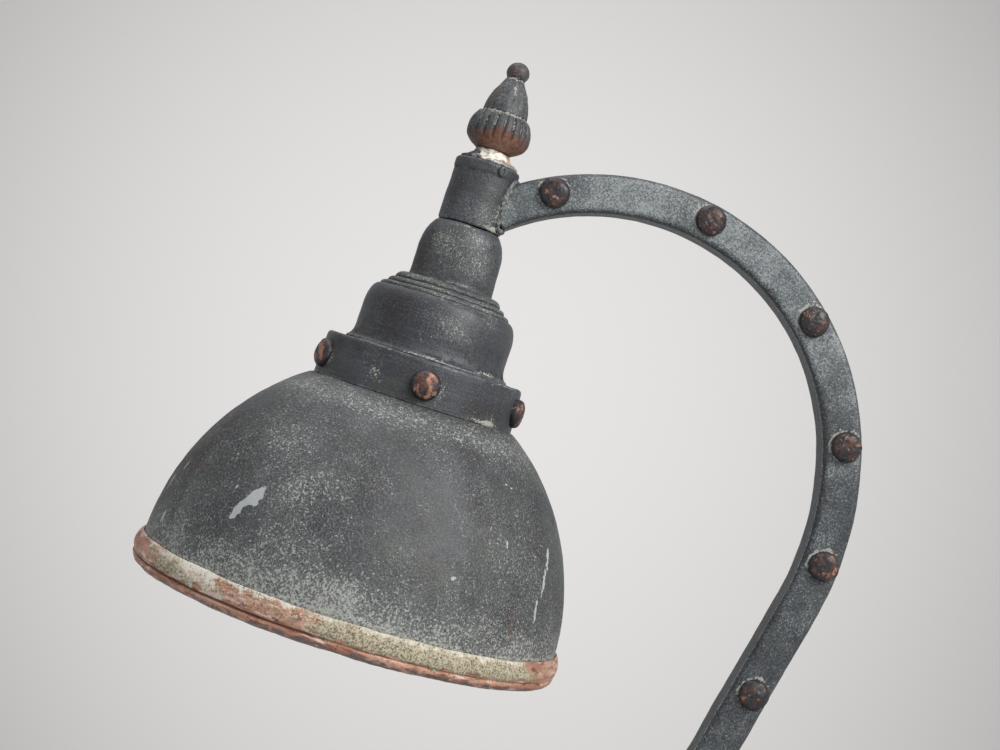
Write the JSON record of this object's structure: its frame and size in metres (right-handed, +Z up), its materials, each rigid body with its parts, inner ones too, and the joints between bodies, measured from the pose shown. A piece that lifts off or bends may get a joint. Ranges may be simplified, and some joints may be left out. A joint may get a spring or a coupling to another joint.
{
  "type": "desk lamp",
  "caption": "Desk lamp with a weighted dome base, a crook arm of riveted square tube that turns on the base, and a dome shade with a rolled rim and acorn finial.",
  "frame": {"origin": "centre of the base's underside, on the surface the lamp stands on", "axes": "+Z up, +X from the shade towards the crown of the arm, +Y towards the cable gland at the back"},
  "size_m": [0.3592, 0.2168, 0.5656],
  "materials": {
    "weathered_steel": "blued gunmetal steel with a pale speckled patina",
    "arm_steel": "grey-blue steel with chalky specks",
    "worn_copper": "copper bead, worn, with olive and cream patina",
    "rivet_iron": "dark rivets with copper showing on the crowns",
    "pale_metal": "cream coat worn to lilac grey",
    "bare_steel": "zinc-dull",
    "brass": "dull",
    "cast_iron": "as cast",
    "felt": "pressed wool felt",
    "porcelain": "glazed",
    "bulb_glass": "clear",
    "nickel": "nickel plate",
    "bakelite": "moulded",
    "wire_cotton": "braided cotton over rubber"
  },
  "bodies": {
    "base": {"ballast": "cast_iron", "base_bead": "worn_copper", "base_collar": "weathered_steel", "base_rivet_1": "rivet_iron", "base_rivet_2": "rivet_iron", "base_rivet_3": "rivet_iron", "base_rivet_4": "rivet_iron", "base_rivet_5": "rivet_iron", "base_shell": "weathered_steel", "base_wire": "wire_cotton", "bottom_plate": "bare_steel", "cable_gland": "bakelite", "felt_pad": "felt", "gland_nut": "bare_steel", "pivot_washer": "brass", "plate_screw_1": "bare_steel", "plate_screw_2": "bare_steel", "plate_screw_3": "bare_steel", "switch_body": "bakelite", "switch_nut": "nickel"},
    "switch": {"switch_lever": "nickel"},
    "arm": {"arm_foot": "weathered_steel", "arm_rivet_1": "rivet_iron", "arm_rivet_2": "rivet_iron", "arm_rivet_3": "rivet_iron", "arm_rivet_4": "rivet_iron", "arm_rivet_5": "rivet_iron", "arm_rivet_6": "rivet_iron", "arm_rivet_7": "rivet_iron", "arm_rivet_8": "rivet_iron", "arm_tube": "arm_steel", "arm_wire": "wire_cotton", "ferrule": "weathered_steel", "ferrule_cap": "pale_metal", "ferrule_screw": "bare_steel", "finial": "weathered_steel", "pivot_nut": "bare_steel"},
    "shade": {"bulb_cap": "nickel", "bulb_glass": "bulb_glass", "bulb_stem": "bulb_glass", "centre_contact": "brass", "collar_rivet_1": "rivet_iron", "collar_rivet_2": "rivet_iron", "collar_rivet_3": "rivet_iron", "collar_rivet_4": "rivet_iron", "collar_rivet_5": "rivet_iron", "cup_nut": "bare_steel", "holder_cap": "brass", "holder_insert": "porcelain", "holder_skirt": "brass", "holder_sleeve": "brass", "holder_wire": "wire_cotton", "neck_cup": "weathered_steel", "nipple_nut": "brass", "nipple_washer": "brass", "shade_bead": "worn_copper", "shade_collar": "weathered_steel", "shade_dome": "weathered_steel", "stepped_cup": "weathered_steel", "swivel_nipple": "brass"}
  },
  "joints": [
    {"name": "arm_swivel", "type": "hinge", "parent": "base", "child": "arm", "pos_m": [0, 0, 0.057], "axis": [0, 0, 1], "range_deg": [-170, 170]},
    {"name": "shade_swivel", "type": "hinge", "parent": "arm", "child": "shade", "pos_m": [-0.07868, 0, 0.48316], "axis": [0.3057, 0, 0.9521], "range_deg": [-175, 175]},
    {"name": "switch_toggle", "type": "hinge", "parent": "base", "child": "switch", "pos_m": [0, -0.06613, 0.03708], "axis": [1, 0, 0], "range_deg": [-26, 0]}
  ]
}
